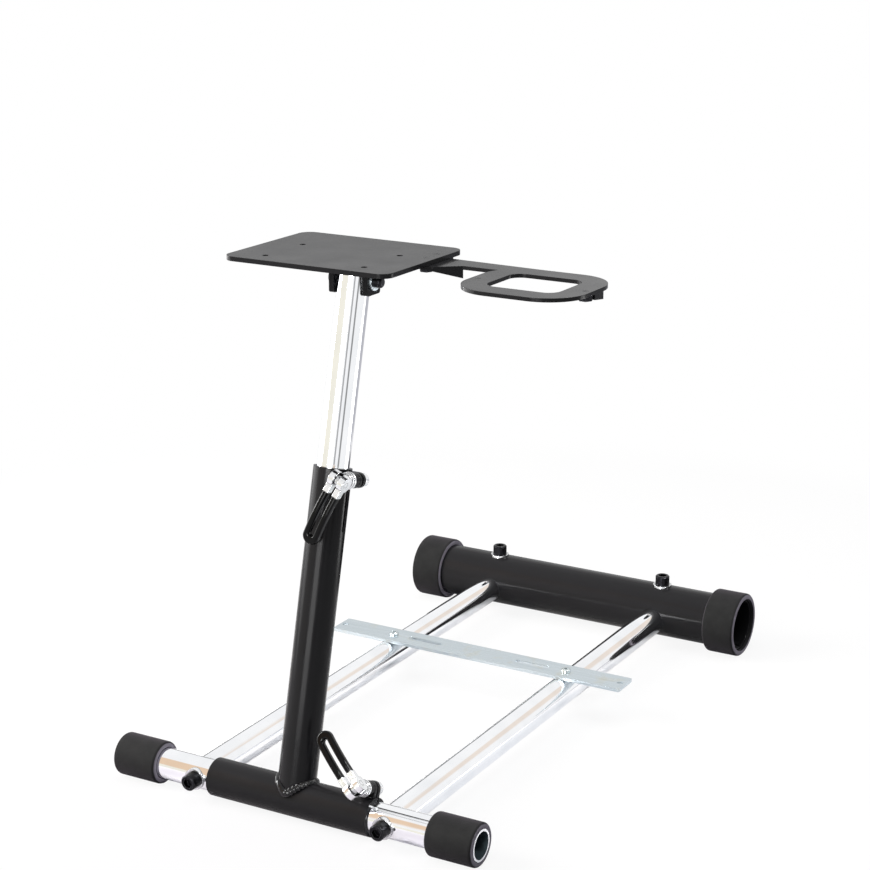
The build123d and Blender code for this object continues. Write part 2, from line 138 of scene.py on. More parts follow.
def surface(name: str, points: np.ndarray, close_u: bool, close_v: bool) -> Piece:
    """Makes a smooth mesh from a grid of points.

    Point (i, j) is joined to (i+1, j), (i+1, j+1) and (i, j+1). A closed direction joins its last
    row to its first. Rows that shrink to one point are merged into a pole.

    Args:
        name: name of the object
        points: array of shape (rows, columns, 3)
        close_u: whether the rows close on themselves
        close_v: whether the columns close on themselves

    Returns:
        the object, at the origin, with its place in its mesh
    """
    rows, columns, _ = points.shape
    i = np.arange(rows if close_u else rows - 1)[:, None]
    j = np.arange(columns if close_v else columns - 1)[None, :]
    next_i = (i + 1) % rows
    next_j = (j + 1) % columns
    corners = (i * columns + j, next_i * columns + j, next_i * columns + next_j, i * columns + next_j)
    faces = np.stack(np.broadcast_arrays(*corners), -1).reshape(-1, 4)
    mesh = bpy.data.meshes.new(name)
    mesh.from_pydata(points.reshape(-1, 3).tolist(), [], faces.tolist())
    work = bmesh.new()
    work.from_mesh(mesh)
    bmesh.ops.remove_doubles(work, verts=work.verts, dist=MERGE)
    bmesh.ops.recalc_face_normals(work, faces=work.faces)
    work.to_mesh(mesh)
    work.free()
    mesh.polygons.foreach_set("use_smooth", np.ones(len(mesh.polygons), bool))
    made = bpy.data.objects.new(name, mesh)
    bpy.context.scene.collection.objects.link(made)
    return made


def sweep(path: np.ndarray, side: np.ndarray, lift: np.ndarray, profile: np.ndarray) -> np.ndarray:
    """Carries a profile along a path.

    Each grid point is the path's point plus the profile's first number along the side direction and
    its second number along the lift direction, both taken at that place of the path.

    Args:
        path: points of the path, shape (rows, 3)
        side: unit side direction at each point, shape (rows, 3)
        lift: unit lift direction at each point, shape (rows, 3)
        profile: offsets, shape (columns, 2) or (rows, columns, 2)

    Returns:
        grid of points, shape (rows, columns, 3)
    """
    wide = np.broadcast_to(profile, (len(path), *profile.shape[-2:]))
    return path[:, None] + wide[..., :1] * side[:, None] + wide[..., 1:] * lift[:, None]


def circle(steps: int) -> np.ndarray:
    """Spaces angles evenly round a circle, without the last one, which is the first again."""
    return np.linspace(0.0, 2 * pi, steps, endpoint=False)


def unit(vectors: np.ndarray) -> np.ndarray:
    """Scales vectors to length 1."""
    return vectors / np.linalg.norm(vectors, axis=-1, keepdims=True)


class Direction(Enum):
    """Ways in which a tube or bar was drawn, as the turn that lays the pattern's X along it."""

    ACROSS = (0.0, 0.0, 0.0)
    BACK = (0.0, 0.0, -pi / 2)
    POST = (0.0, pi / 2 - radians(POST_LEAN), pi / 2)


@dataclass(frozen=True)
class Finish:
    """Common ground of the finishes. Lengths in a finish are in metres.

    Attributes:
        name: common name of the material and how its surface was made
        colour: base colour, sRGB hex
        second: colour that the base drifts to in patches, sRGB hex
        rough: lowest and highest roughness
        metallic: 1 for bare metal and plate, 0 for paint, foam and vinyl
        specular: level of the mirror reflection of what isn't metal
    """

    name: str
    colour: str
    second: str
    rough: tuple[float, float]
    metallic: float = 0.0
    specular: float = 0.5

    @property
    def tones(self) -> dict[int, Colour]:
        """Both colours, as the two ends of a colour mix."""
        return {BASE: linear(self.colour), OVER: linear(self.second)}

    @property
    def gloss(self) -> dict[str, float]:
        """Both roughnesses, as the two ends of a range."""
        return {"To Min": self.rough[0], "To Max": self.rough[1]}

    def material(self) -> bpy.types.Material:
        """Builds the material, or hands back the one that is there.

        Returns:
            the material with its nodes
        """
        found = bpy.data.materials.get(self.name)
        if found:
            return found
        made = bpy.data.materials.new(self.name)
        made.use_nodes = True
        made.diffuse_color = linear(self.colour)
        tree = made.node_tree
        shader = tree.nodes["Principled BSDF"]
        for socket, value in self.constants().items():
            shader.inputs[socket].default_value = value
        place = node(tree, "TexCoord")["Object"]
        for socket, source in zip(FED, self.pattern(tree, place)):
            tree.links.new(source, shader.inputs[socket])
        return made

    def constants(self) -> dict[str, float | Colour]:
        """Names what is the same all over the surface."""
        return {"Metallic": self.metallic, "Specular IOR Level": self.specular}

    def pattern(self, tree: Tree, place: Socket) -> Look:
        """Adds the nodes that give the finish its look.

        Args:
            tree: node tree of the material
            place: Object coordinates

        Returns:
            what feeds the shader's colour, roughness and normal
        """
        raise NotImplementedError


@dataclass(frozen=True)
class EdgedFinish(Finish):
    """Finish that looks different at the edges of a piece.

    Attributes:
        bevel: radius over which edges look softened
    """

    bevel: float = 0.9 * MM

    def edges(self, tree: Tree) -> tuple[Socket, Socket]:
        """Adds the nodes that soften edges and find them.

        Args:
            tree: node tree of the material

        Returns:
            the softened normal, and its agreement with the true one, which is less than 1 at edges
        """
        soft = node(tree, "Bevel", {"Radius": self.bevel}, samples=4)[0]
        true = node(tree, "NewGeometry")["Normal"]
        facing = node(tree, "VectorMath", {0: soft, 1: true}, operation="DOT_PRODUCT")
        return soft, facing["Value"]


@dataclass(frozen=True)
class ChromeTube(Finish):
    """Chrome plate on drawn steel tube: mirror bright, with faint lengthwise drawing marks.

    Attributes:
        drawn: direction in which the tube was drawn
        centre: a point on the tube's axis
        axis: unit direction of the tube
        bore: radius inside which the bare steel of the bore shows, drawn dark as painted shade
        shaded_bore_colour: colour of that steel, darkened as painted shade inside the tube, sRGB hex
        bore_dull: how much rougher that steel is
        sawn: how much rougher the cut ends are
        marks: length and spacing of the drawing marks, coarser than the real ones
        haze: size of the hazy patches
        wave: length of the waves in the plate
    """

    drawn: Direction = Direction.ACROSS
    centre: Point = (0.0, 0.0, 0.0)
    axis: Point = (1.0, 0.0, 0.0)
    bore: float = 0.0
    shaded_bore_colour: str = "#465257"
    bore_dull: float = 0.5
    sawn: float = 0.4
    marks: tuple[float, float] = (220 * MM, 2 * MM)
    haze: float = 40 * MM
    wave: float = 28 * MM

    def pattern(self, tree: Tree, place: Socket) -> Look:
        """Adds drawing marks, haze, waves, a bore of bare steel darkened as painted shade, and dull cut ends.

        Args:
            tree: node tree of the material
            place: Object coordinates

        Returns:
            what feeds the shader's colour, roughness and normal
        """
        length, gap = self.marks
        laid = node(tree, "Mapping", {"Vector": place, "Rotation": self.drawn.value,
                                      "Scale": (1 / length, 1 / gap, 1 / gap)})
        marks = node(tree, "TexNoise", {"Vector": laid[0], "Scale": 1.0, "Detail": 3.0})
        haze = node(tree, "TexNoise", {"Vector": place, "Scale": 1 / self.haze, "Detail": 2.0})
        away = node(tree, "VectorMath", {0: place, 1: self.centre}, operation="SUBTRACT")
        turned = node(tree, "VectorMath", {0: away[0], 1: self.axis}, operation="CROSS_PRODUCT")
        reach = node(tree, "VectorMath", {0: turned[0]}, operation="LENGTH")
        inside = node(tree, "Math", {0: reach["Value"], 1: self.bore}, operation="LESS_THAN")
        drift = node(tree, "MapRange", {"Value": haze[0], "From Min": 0.4, "From Max": 0.8})
        plate = node(tree, "Mix", {SHARE: drift[0], **self.tones}, data_type="RGBA")
        # painted shade: inside the bore the bare steel gets a colour far darker than steel, standing in for shade
        # in the tube
        shade = node(tree, "Mix", {SHARE: inside[0], BASE: plate[MIXED],
                                   OVER: linear(self.shaded_bore_colour)}, data_type="RGBA")
        gloss = node(tree, "MapRange", {"Value": marks[0], "From Min": 0.35, "From Max": 0.75, **self.gloss})
        true = node(tree, "NewGeometry")
        facing = node(tree, "VectorMath", {0: true["Normal"], 1: self.axis}, operation="DOT_PRODUCT")
        end_on = node(tree, "Math", {0: facing["Value"]}, operation="ABSOLUTE")
        end = node(tree, "MapRange", {"Value": end_on[0], "From Min": 0.8, "From Max": 0.95,
                                      "To Min": 0.0, "To Max": self.sawn})
        matt = node(tree, "Math", {0: gloss[0], 1: end[0]}, operation="ADD")
        dull = node(tree, "Math", {0: inside[0], 1: self.bore_dull, 2: matt[0]}, operation="MULTIPLY_ADD")
        wavy = node(tree, "TexNoise", {"Vector": place, "Scale": 1 / self.wave, "Detail": 1.0})
        relief = node(tree, "Bump", {"Height": wavy[0], "Strength": 0.06, "Distance": 0.5 * MM})
        return shade[MIXED], dull[0], relief[0]


@dataclass(frozen=True)
class CastChrome(EdgedFinish):
    """Chrome plate on small castings and turned pieces: softer waves, painted shade in the inside corners, painted
    dark reflections along the edges.

    Attributes:
        corner_shade: colour of the painted shade in the inside corners, sRGB hex
        corner_shade_reach: how far from an inside corner the painted shade reaches
        edge_reflection: colour of the painted dark reflection on the softened edges, sRGB hex
        wave: length of the casting waves
    """

    corner_shade: str = "#1b1a1a"
    corner_shade_reach: float = 4.5 * MM
    edge_reflection: str = "#56575c"
    bevel: float = 1.1 * MM
    wave: float = 4 * MM

    def pattern(self, tree: Tree, place: Socket) -> Look:
        """Adds casting waves, painted shade in inside corners and painted dark reflections along the edges.

        Args:
            tree: node tree of the material
            place: Object coordinates

        Returns:
            what feeds the shader's colour, roughness and normal
        """
        waves = node(tree, "TexNoise", {"Vector": place, "Scale": 1 / self.wave, "Detail": 2.0})
        # painted shade: corners that ambient occlusion finds are mixed towards a dark shade colour
        open_sky = node(tree, "AmbientOcclusion", {"Distance": self.corner_shade_reach}, samples=8, only_local=False)
        corner = node(tree, "MapRange", {"Value": open_sky["AO"], "From Min": 0.4, "From Max": 0.95,
                                         "To Min": 1.0, "To Max": 0.0})
        plate = node(tree, "Mix", {SHARE: waves[0], **self.tones}, data_type="RGBA")
        shade = node(tree, "Mix", {SHARE: corner[0], BASE: plate[MIXED],
                                   OVER: linear(self.corner_shade)}, data_type="RGBA")
        gloss = node(tree, "MapRange", {"Value": waves[0], "From Min": 0.3, "From Max": 0.7, **self.gloss})
        soft, facing = self.edges(tree)
        # painted reflection: where the softened normal turns from the true one, the plate is mixed towards a dark
        # reflected colour
        edge_reflection_share = node(tree, "MapRange", {"Value": facing, "From Min": 0.80, "From Max": 0.99,
                                          "To Min": 0.9, "To Max": 0.0})
        edge_reflected = node(tree, "Mix", {SHARE: edge_reflection_share[0], BASE: shade[MIXED],
                                   OVER: linear(self.edge_reflection)}, data_type="RGBA")
        relief = node(tree, "Bump", {"Height": waves[0], "Strength": 0.18, "Distance": 0.4 * MM,
                                     "Normal": soft})
        return edge_reflected[MIXED], gloss[0], relief[0]


@dataclass(frozen=True)
class PowderCoat(EdgedFinish):
    """Powder coat baked on steel: glossy, with a fine orange peel and edges rubbed a little paler.

    Attributes:
        peel: spacing of the orange peel
        patch: size of the patches of gloss
    """

    peel: float = 2.4 * MM
    patch: float = 35 * MM

    def pattern(self, tree: Tree, place: Socket) -> Look:
        """Adds orange peel, patches of gloss and rubbed edges.

        Args:
            tree: node tree of the material
            place: Object coordinates

        Returns:
            what feeds the shader's colour, roughness and normal
        """
        peel = node(tree, "TexNoise", {"Vector": place, "Scale": 1 / self.peel, "Detail": 1.0})
        patch = node(tree, "TexNoise", {"Vector": place, "Scale": 1 / self.patch, "Detail": 3.0})
        soft, facing = self.edges(tree)
        rubbed = node(tree, "MapRange", {"Value": facing, "From Min": 0.72, "From Max": 0.97,
                                         "To Min": 1.0, "To Max": 0.0})
        worn = node(tree, "Math", {0: rubbed[0], 1: patch[0]}, operation="MULTIPLY")
        shade = node(tree, "Mix", {SHARE: worn[0], **self.tones}, data_type="RGBA")
        gloss = node(tree, "MapRange", {"Value": patch[0], "From Min": 0.3, "From Max": 0.7, **self.gloss})
        relief = node(tree, "Bump", {"Height": peel[0], "Strength": 0.16, "Distance": 0.25 * MM,
                                     "Normal": soft})
        return shade[MIXED], gloss[0], relief[0]


@dataclass(frozen=True)
class ClosedCellFoam(Finish):
    """Closed cell foam rubber, cut from tube: dull, with a skin of fine cells and cut ends drawn paler as painted
    light.

    Attributes:
        cell: cell size, drawn about three times as coarse as the real one
        dust: size of the dusty patches
        cut: colour of the cut ends, which face along X, paler as painted light, sRGB hex
        sheen: weight of the sheen
        sheen_tint: its colour, sRGB hex
        sheen_rough: its roughness
    """

    cell: float = 1.5 * MM
    dust: float = 14 * MM
    cut: str = "#8a8691"
    sheen: float = 0.11
    sheen_tint: str = "#ece0f6"
    sheen_rough: float = 0.5

    def constants(self) -> dict[str, float | Colour]:
        """Adds the sheen to what is the same all over the surface."""
        return {**super().constants(), "Sheen Weight": self.sheen, "Sheen Tint": linear(self.sheen_tint),
                "Sheen Roughness": self.sheen_rough}

    def pattern(self, tree: Tree, place: Socket) -> Look:
        """Adds cells, dusty patches and cut ends drawn paler as painted light.

        Args:
            tree: node tree of the material
            place: Object coordinates

        Returns:
            what feeds the shader's colour, roughness and normal
        """
        cells = node(tree, "TexVoronoi", {"Vector": place, "Scale": 1 / self.cell})
        dust = node(tree, "TexNoise", {"Vector": place, "Scale": 1 / self.dust, "Detail": 4.0})
        drift = node(tree, "MapRange", {"Value": dust[0], "From Min": 0.35, "From Max": 0.75})
        skin = node(tree, "Mix", {SHARE: drift[0], **self.tones}, data_type="RGBA")
        facing = node(tree, "SeparateXYZ", {0: node(tree, "NewGeometry")["Normal"]})
        end_on = node(tree, "Math", {0: facing["X"]}, operation="ABSOLUTE")
        # painted light: faces that face along X, the cut ends, are mixed towards the much paler cut colour
        sawn = node(tree, "MapRange", {"Value": end_on[0], "From Min": 0.75, "From Max": 0.95})
        shade = node(tree, "Mix", {SHARE: sawn[0], BASE: skin[MIXED], OVER: linear(self.cut)},
                     data_type="RGBA")
        gloss = node(tree, "MapRange", {"Value": dust[0], "From Min": 0.3, "From Max": 0.7, **self.gloss})
        relief = node(tree, "Bump", {"Height": cells["Distance"], "Strength": 0.35, "Distance": 0.35 * MM})
        return shade[MIXED], gloss[0], relief[0]


@dataclass(frozen=True)
class DippedVinyl(Finish):
    """Plastisol vinyl, hot dipped: wet looking gloss with slow runs.

    Attributes:
        runs: length of the runs
        marks: size of the finger marks
    """

    runs: float = 8 * MM
    marks: float = 5 * MM

    def pattern(self, tree: Tree, place: Socket) -> Look:
        """Adds runs in the skin and finger marks in its gloss.

        Args:
            tree: node tree of the material
            place: Object coordinates

        Returns:
            what feeds the shader's colour, roughness and normal
        """
        runs = node(tree, "TexNoise", {"Vector": place, "Scale": 1 / self.runs, "Detail": 1.0})
        marks = node(tree, "TexNoise", {"Vector": place, "Scale": 1 / self.marks, "Detail": 4.0})
        shade = node(tree, "Mix", {SHARE: marks[0], **self.tones}, data_type="RGBA")
        gloss = node(tree, "MapRange", {"Value": marks[0], "From Min": 0.35, "From Max": 0.7, **self.gloss})
        relief = node(tree, "Bump", {"Height": runs[0], "Strength": 0.15, "Distance": 0.6 * MM})
        return shade[MIXED], gloss[0], relief[0]


@dataclass(frozen=True)
class ZincPlate(Finish):
    """Bright zinc plate on rolled steel: bluish, with rolling streaks and a yellow tinge in patches.

    Attributes:
        tinge: colour of the tinged patches, sRGB hex
        patch: size of the tinged patches
        streaks: length and spacing of the rolling streaks
        bevel: radius over which edges look softened
    """

    tinge: str = "#c8c2aa"
    patch: float = 25 * MM
    streaks: tuple[float, float] = (90 * MM, 1.6 * MM)
    bevel: float = 0.5 * MM

    def pattern(self, tree: Tree, place: Socket) -> Look:
        """Adds streaks along X, tinged patches and softened edges.

        Args:
            tree: node tree of the material
            place: Object coordinates

        Returns:
            what feeds the shader's colour, roughness and normal
        """
        length, gap = self.streaks
        laid = node(tree, "Mapping", {"Vector": place, "Scale": (1 / length, 1 / gap, 1 / gap)})
        streaks = node(tree, "TexNoise", {"Vector": laid[0], "Scale": 1.0, "Detail": 3.0})
        patch = node(tree, "TexNoise", {"Vector": place, "Scale": 1 / self.patch, "Detail": 2.0})
        tinged = node(tree, "MapRange", {"Value": patch[0], "From Min": 0.55, "From Max": 0.8,
                                         "To Min": 0.0, "To Max": 0.6})
        plate = node(tree, "Mix", {SHARE: streaks[0], **self.tones}, data_type="RGBA")
        shade = node(tree, "Mix", {SHARE: tinged[0], BASE: plate[MIXED],
                                   OVER: linear(self.tinge)}, data_type="RGBA")
        gloss = node(tree, "MapRange", {"Value": streaks[0], "From Min": 0.3, "From Max": 0.7, **self.gloss})
        soft = node(tree, "Bevel", {"Radius": self.bevel}, samples=4)
        relief = node(tree, "Bump", {"Height": streaks[0], "Strength": 0.12, "Distance": 0.15 * MM,
                                     "Normal": soft[0]})
        return shade[MIXED], gloss[0], relief[0]


@dataclass(frozen=True)
class BlackOxide(EdgedFinish):
    """Oiled black oxide on steel screws: dark satin metal, paler where a key or a tube rubs it.

    Attributes:
        oil: size of the oily patches
        grain: size of the grain
    """

    oil: float = 6 * MM
    grain: float = 0.8 * MM
    bevel: float = 0.6 * MM

    def pattern(self, tree: Tree, place: Socket) -> Look:
        """Adds oily patches, a fine grain and rubbed edges.

        Args:
            tree: node tree of the material
            place: Object coordinates

        Returns:
            what feeds the shader's colour, roughness and normal
        """
        oil = node(tree, "TexNoise", {"Vector": place, "Scale": 1 / self.oil, "Detail": 3.0})
        grain = node(tree, "TexNoise", {"Vector": place, "Scale": 1 / self.grain, "Detail": 1.0})
        soft, facing = self.edges(tree)
        rubbed = node(tree, "MapRange", {"Value": facing, "From Min": 0.75, "From Max": 0.97,
                                         "To Min": 0.8, "To Max": 0.0})
        shade = node(tree, "Mix", {SHARE: rubbed[0], **self.tones}, data_type="RGBA")
        gloss = node(tree, "MapRange", {"Value": oil[0], "From Min": 0.3, "From Max": 0.7, **self.gloss})
        relief = node(tree, "Bump", {"Height": grain[0], "Strength": 0.15, "Distance": 0.1 * MM,
                                     "Normal": soft})
        return shade[MIXED], gloss[0], relief[0]


def dress(piece: Piece, finish: Finish) -> None:
    """Gives a piece one finish all over.

    Args:
        piece: mesh object, a solid's node or a new piece
        finish: finish that it gets
    """
    piece.data.materials.clear()
    piece.data.materials.append(finish.material())
    LOG.info("%s: %s", piece.name, finish.name)


@dataclass(frozen=True)
class PostFrame:
    """Directions of the leaning post, read from its joints.

    Attributes:
        foot: middle of the front cross tube's axis
        up: unit direction along the post
        driver: unit direction square to the post, to the driver's side
    """

    foot: np.ndarray
    up: np.ndarray
    driver: np.ndarray

    @classmethod
    def from_joints(cls, joints: dict[str, dict]) -> "PostFrame":
        """Reads the frame from the fold hinge and the telescope slide.

        Args:
            joints: joints of the record by name

        Returns:
            the post's frame
        """
        up = np.array(joints["post_telescope"]["axis"])
        return cls(np.array(joints["post_fold"]["pos_m"]), up, np.cross(ACROSS, up))

    def points(self, x: np.ndarray, driver: np.ndarray, up: np.ndarray) -> np.ndarray:
        """Turns places across, towards the driver and up the post into points of the shared frame."""
        return self.foot + x[..., None] * ACROSS + driver[..., None] * self.driver + up[..., None] * self.up


@dataclass
class FoamFoot:
    """Foam sleeve pushed over the end of a cross tube.

    Attributes:
        solid: name of the solid that it stands for
        bore: radius of the hole
        shoulder: radius of its soft outer edges
        lip: radius of its edges at the hole
        sag: how far its underside is pressed flat on the floor
        pressed: share of its round height that the pressed underside keeps
        around: points round the tube
        corner: points round each edge
    """

    solid: str
    bore: float
    shoulder: float = 3.5 * MM
    lip: float = 1.0 * MM
    sag: float = 0.5 * MM
    pressed: float = 0.25
    around: int = 96
    corner: int = 9

    def outline(self, length: float, radius: float) -> tuple[np.ndarray, np.ndarray]:
        """Works out the sleeve's closed section: four sides with a quarter circle at each corner.

        Args:
            length: length of the sleeve
            radius: outer radius

        Returns:
            places along the sleeve and radii, as two arrays
        """
        turn = np.linspace(0.0, pi / 2, self.corner)
        back = turn[::-1]
        wide, small = self.shoulder, self.lip
        along = np.concatenate([wide * (1 - np.sin(back)), length - wide * (1 - np.sin(turn)),
                                length - small * (1 - np.cos(turn)), small * (1 - np.cos(back))])
        out = np.concatenate([radius - wide * (1 - np.cos(back)), radius - wide * (1 - np.cos(turn)),
                              self.bore + small * (1 - np.sin(turn)), self.bore + small * (1 - np.sin(back))])
        return along, out

    def build(self, finish: Finish) -> Piece:
        """Turns the section about the tube's axis, which lies along X, and presses the underside flat.

        Args:
            finish: the foam

        Returns:
            the sleeve
        """
        low, high = (np.array(corner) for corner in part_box(self.solid))
        middle = (low + high) / 2
        along, out = self.outline(high[0] - low[0], (high[2] - low[2]) / 2)
        angle = circle(self.around)[:, None]
        x = np.broadcast_to(low[0] + along, (self.around, len(along)))
        y = middle[1] + out * np.sin(angle)
        z = middle[2] + out * np.cos(angle)
        floor = low[2] + self.sag
        z = np.where(z < floor, low[2] + (z - low[2]) * self.pressed, z)
        made = surface(self.solid + "_foam", np.stack([x, y, z], -1), close_u=True, close_v=True)
        dress(made, finish)
        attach(made, "base")
        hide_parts(self.solid)
        return made


@dataclass
class PostWeld:
    """Weld bead round the foot of the post, where it meets the sleeve.

    Attributes:
        post_radius: outer radius of the post
        sleeve_radius: outer radius of the sleeve
        bead: radius of the bead
        section: width and height of the bead, in shares of that radius
        pitch: length of one ripple
        level: share of the radius between the ripples
        ripple: share of the radius that a ripple adds
        dip: share of the radius by which the ripples start lower
        calm: share of the ripples that is left where the weld is smoothest
        rough_at: degrees round the post at which it is roughest
        swell: how much thicker the bead is at the front and back, where it fills a wedge
        climb: how far it climbs the post there
        steps: points along the bead
        around: points round the bead
    """

    post_radius: float = 21.0 * MM
    sleeve_radius: float = 21.2 * MM
    bead: float = 3.4 * MM
    section: tuple[float, float] = (1.15, 0.9)
    pitch: float = 4.6 * MM
    level: float = 0.92
    ripple: float = 0.36
    dip: float = 0.1
    calm: float = 0.05
    rough_at: float = 32.0
    swell: float = 0.25
    climb: float = 4.5 * MM
    steps: int = 420
    around: int = 20

    def build(self, finish: Finish) -> Piece:
        """Carries an oval along the curve in which the two tubes cross.

        Round the post by an angle, the curve is at the post's radius times its cosine across and its
        sine to the driver, and as high as the sleeve's circle is there. The oval swells and shrinks
        once in each ripple, most at the front right, where the weld ends.

        Args:
            finish: paint over the weld

        Returns:
            the bead
        """
        angle = circle(self.steps)
        x = self.post_radius * np.cos(angle)
        driver = self.post_radius * np.sin(angle)
        wedge = np.sin(angle) ** 2
        up = np.sqrt(self.sleeve_radius ** 2 - driver ** 2)
        line = POST.points(x, driver, up + self.climb * wedge)
        off_post = POST.points(np.cos(angle), np.sin(angle), 0 * angle) - POST.foot
        off_sleeve = POST.points(0 * angle, driver, up) - POST.foot
        lift = unit(off_post + unit(off_sleeve))
        heading = unit(np.roll(line, -1, 0) - np.roll(line, 1, 0))
        side = np.cross(heading, lift)
        run = np.cumsum(np.linalg.norm(np.roll(line, -1, 0) - line, axis=1))
        ripples = np.round(run[-1] / self.pitch)
        phase = run / run[-1] * ripples
        facing = np.clip(np.cos(angle - radians(self.rough_at)), 0.0, 1.0)
        rough = self.calm + (1 - self.calm) * facing ** 2
        waves = self.level + rough * (self.ripple * np.abs(np.sin(pi * phase)) - self.dip)
        scale = waves * (1 + self.swell * wedge)
        turn = circle(self.around)
        wide, high = self.section
        ring = np.stack([wide * np.cos(turn), high * np.sin(turn)], -1) * self.bead
        grid = sweep(line, side, lift, scale[:, None, None] * ring)
        made = surface("post_weld_bead", grid, close_u=True, close_v=True)
        dress(made, finish)
        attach(made, "post")
        return made


@dataclass
class LugWeld:
    """Short weld bead along the root of a clamp lug.

    Attributes:
        name: name of the bead
        start: its first end, across, to the driver and up the post
        end: its other end, likewise
        turn: degrees by which it is turned back about the front tube
        bead: radius of the bead
        level: share of the radius between the ripples
        ripple: share of the radius that a ripple adds
        ripples: number of ripples
        blunt: power that makes its ends blunt
        steps: points along the bead
        around: points round the bead
    """

    name: str
    start: Point
    end: Point
    turn: float = 0.0
    bead: float = 1.3 * MM
    level: float = 0.9
    ripple: float = 0.15
    ripples: int = 5
    blunt: int = 8
    steps: int = 61
    around: int = 16

    def build(self, finish: Finish) -> Piece:
        """Carries a circle along the root: its radius has ripples and goes to nothing at both ends.

        At a share of the way from 0 to 1, the radius is the root of 1 less the blunt power of twice
        the share less 1, times the ripples, which are half sines.

        Args:
            finish: paint over the weld

        Returns:
            the bead
        """
        share = np.linspace(0.0, 1.0, self.steps)
        first, last = np.array(self.start), np.array(self.end)
        across, driver, up = (first + share[:, None] * (last - first)).T
        lean_cos, lean_sin = cos(radians(self.turn)), sin(radians(self.turn))
        line = POST.points(across, lean_cos * driver - lean_sin * up, lean_sin * driver + lean_cos * up)
        heading = unit(np.gradient(line, axis=0))
        side = np.broadcast_to(POST.driver, line.shape)
        lift = np.cross(heading, side)
        ends = np.sqrt(np.clip(1.0 - (2 * share - 1.0) ** self.blunt, 0.0, 1.0))
        scale = ends * (self.level + self.ripple * np.abs(np.sin(self.ripples * pi * share)))
        turn = circle(self.around)
        ring = np.stack([np.cos(turn), np.sin(turn)], -1) * self.bead
        grid = sweep(line, side, lift, scale[:, None, None] * ring)
        made = surface(self.name, grid, close_u=False, close_v=True)
        dress(made, finish)
        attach(made, "post")
        return made


class LampUse(Enum):
    """What a lamp is for."""

    LIGHT = "light on the object"
    GLOSS = "highlights alone"


@dataclass(frozen=True)
class Lamp:
    """Soft box.

    Attributes:
        name: its name
        place: where it hangs
        size: its width and height
        power: its power in watts
        use: whether it lights the object or draws highlights
        colour: colour of its light, sRGB hex
    """

    name: str
    place: Point
    size: tuple[float, float]
    power: float
    use: LampUse = LampUse.LIGHT
    colour: str = WHITE

    def build(self, aim: Vector) -> None:
        """Hangs the lamp and turns it to a point.

        Args:
            aim: point that it faces
        """
        data = bpy.data.lights.new(self.name, "AREA")
        data.shape = "RECTANGLE"
        data.size, data.size_y = self.size
        data.energy = self.power
        data.color = linear(self.colour)[:3]
        made = bpy.data.objects.new(self.name, data)
        made.location = self.place
        made.rotation_euler = (aim - Vector(self.place)).to_track_quat("-Z", "Y").to_euler()
        made.visible_camera = False
        made.visible_diffuse = self.use is LampUse.LIGHT
        made.visible_glossy = self.use is LampUse.GLOSS
        bpy.context.scene.collection.objects.link(made)
        LOG.info("%s: %s", self.name, self.use.value)


@dataclass(frozen=True)
class Patch:
    """Patch of the studio's walls or floor that only metal and gloss show.

    Attributes:
        name: what it is
        turn: degrees round of its middle, 0 to the right and 90 to the back
        half: half of its width in degrees
        reach: its lower and upper end: heights on a wall, distances in metres on the floor
        colour: its colour, sRGB hex
        depth: share in which it covers what is behind it
        soft: share of its half width and half reach over which its edges fade
        glow: how many times as bright as white it is
    """

    name: str
    turn: float
    half: float
    reach: tuple[float, float]
    colour: str
    depth: float = 1.0
    soft: float = 0.2
    glow: float = 1.0

    def share(self, tree: Tree, turn: Socket, level: Socket) -> Socket:
        """Adds nodes for how much of the patch shows: full in its middle, fading to both sides.

        Args:
            tree: node tree that gets them
            turn: angle round, in radians
            level: height or distance

        Returns:
            the share
        """
        shown = self.depth
        low, high = self.reach
        for value, middle, half in ((turn, radians(self.turn), radians(self.half)),
                                    (level, (low + high) / 2, (high - low) / 2)):
            off = node(tree, "Math", {0: value, 1: middle}, operation="SUBTRACT")
            if value is turn:
                off = node(tree, "Math", {0: off[0], 1: pi, 2: -pi}, operation="WRAP")
            far = node(tree, "Math", {0: off[0]}, operation="ABSOLUTE")
            inside = node(tree, "MapRange", {"Value": far[0], "From Min": half,
                                             "From Max": half * (1 - self.soft)},
                          interpolation_type="SMOOTHSTEP")
            shown = node(tree, "Math", {0: inside[0], 1: shown}, operation="MULTIPLY")[0]
        LOG.info("studio: %s", self.name)
        return shown


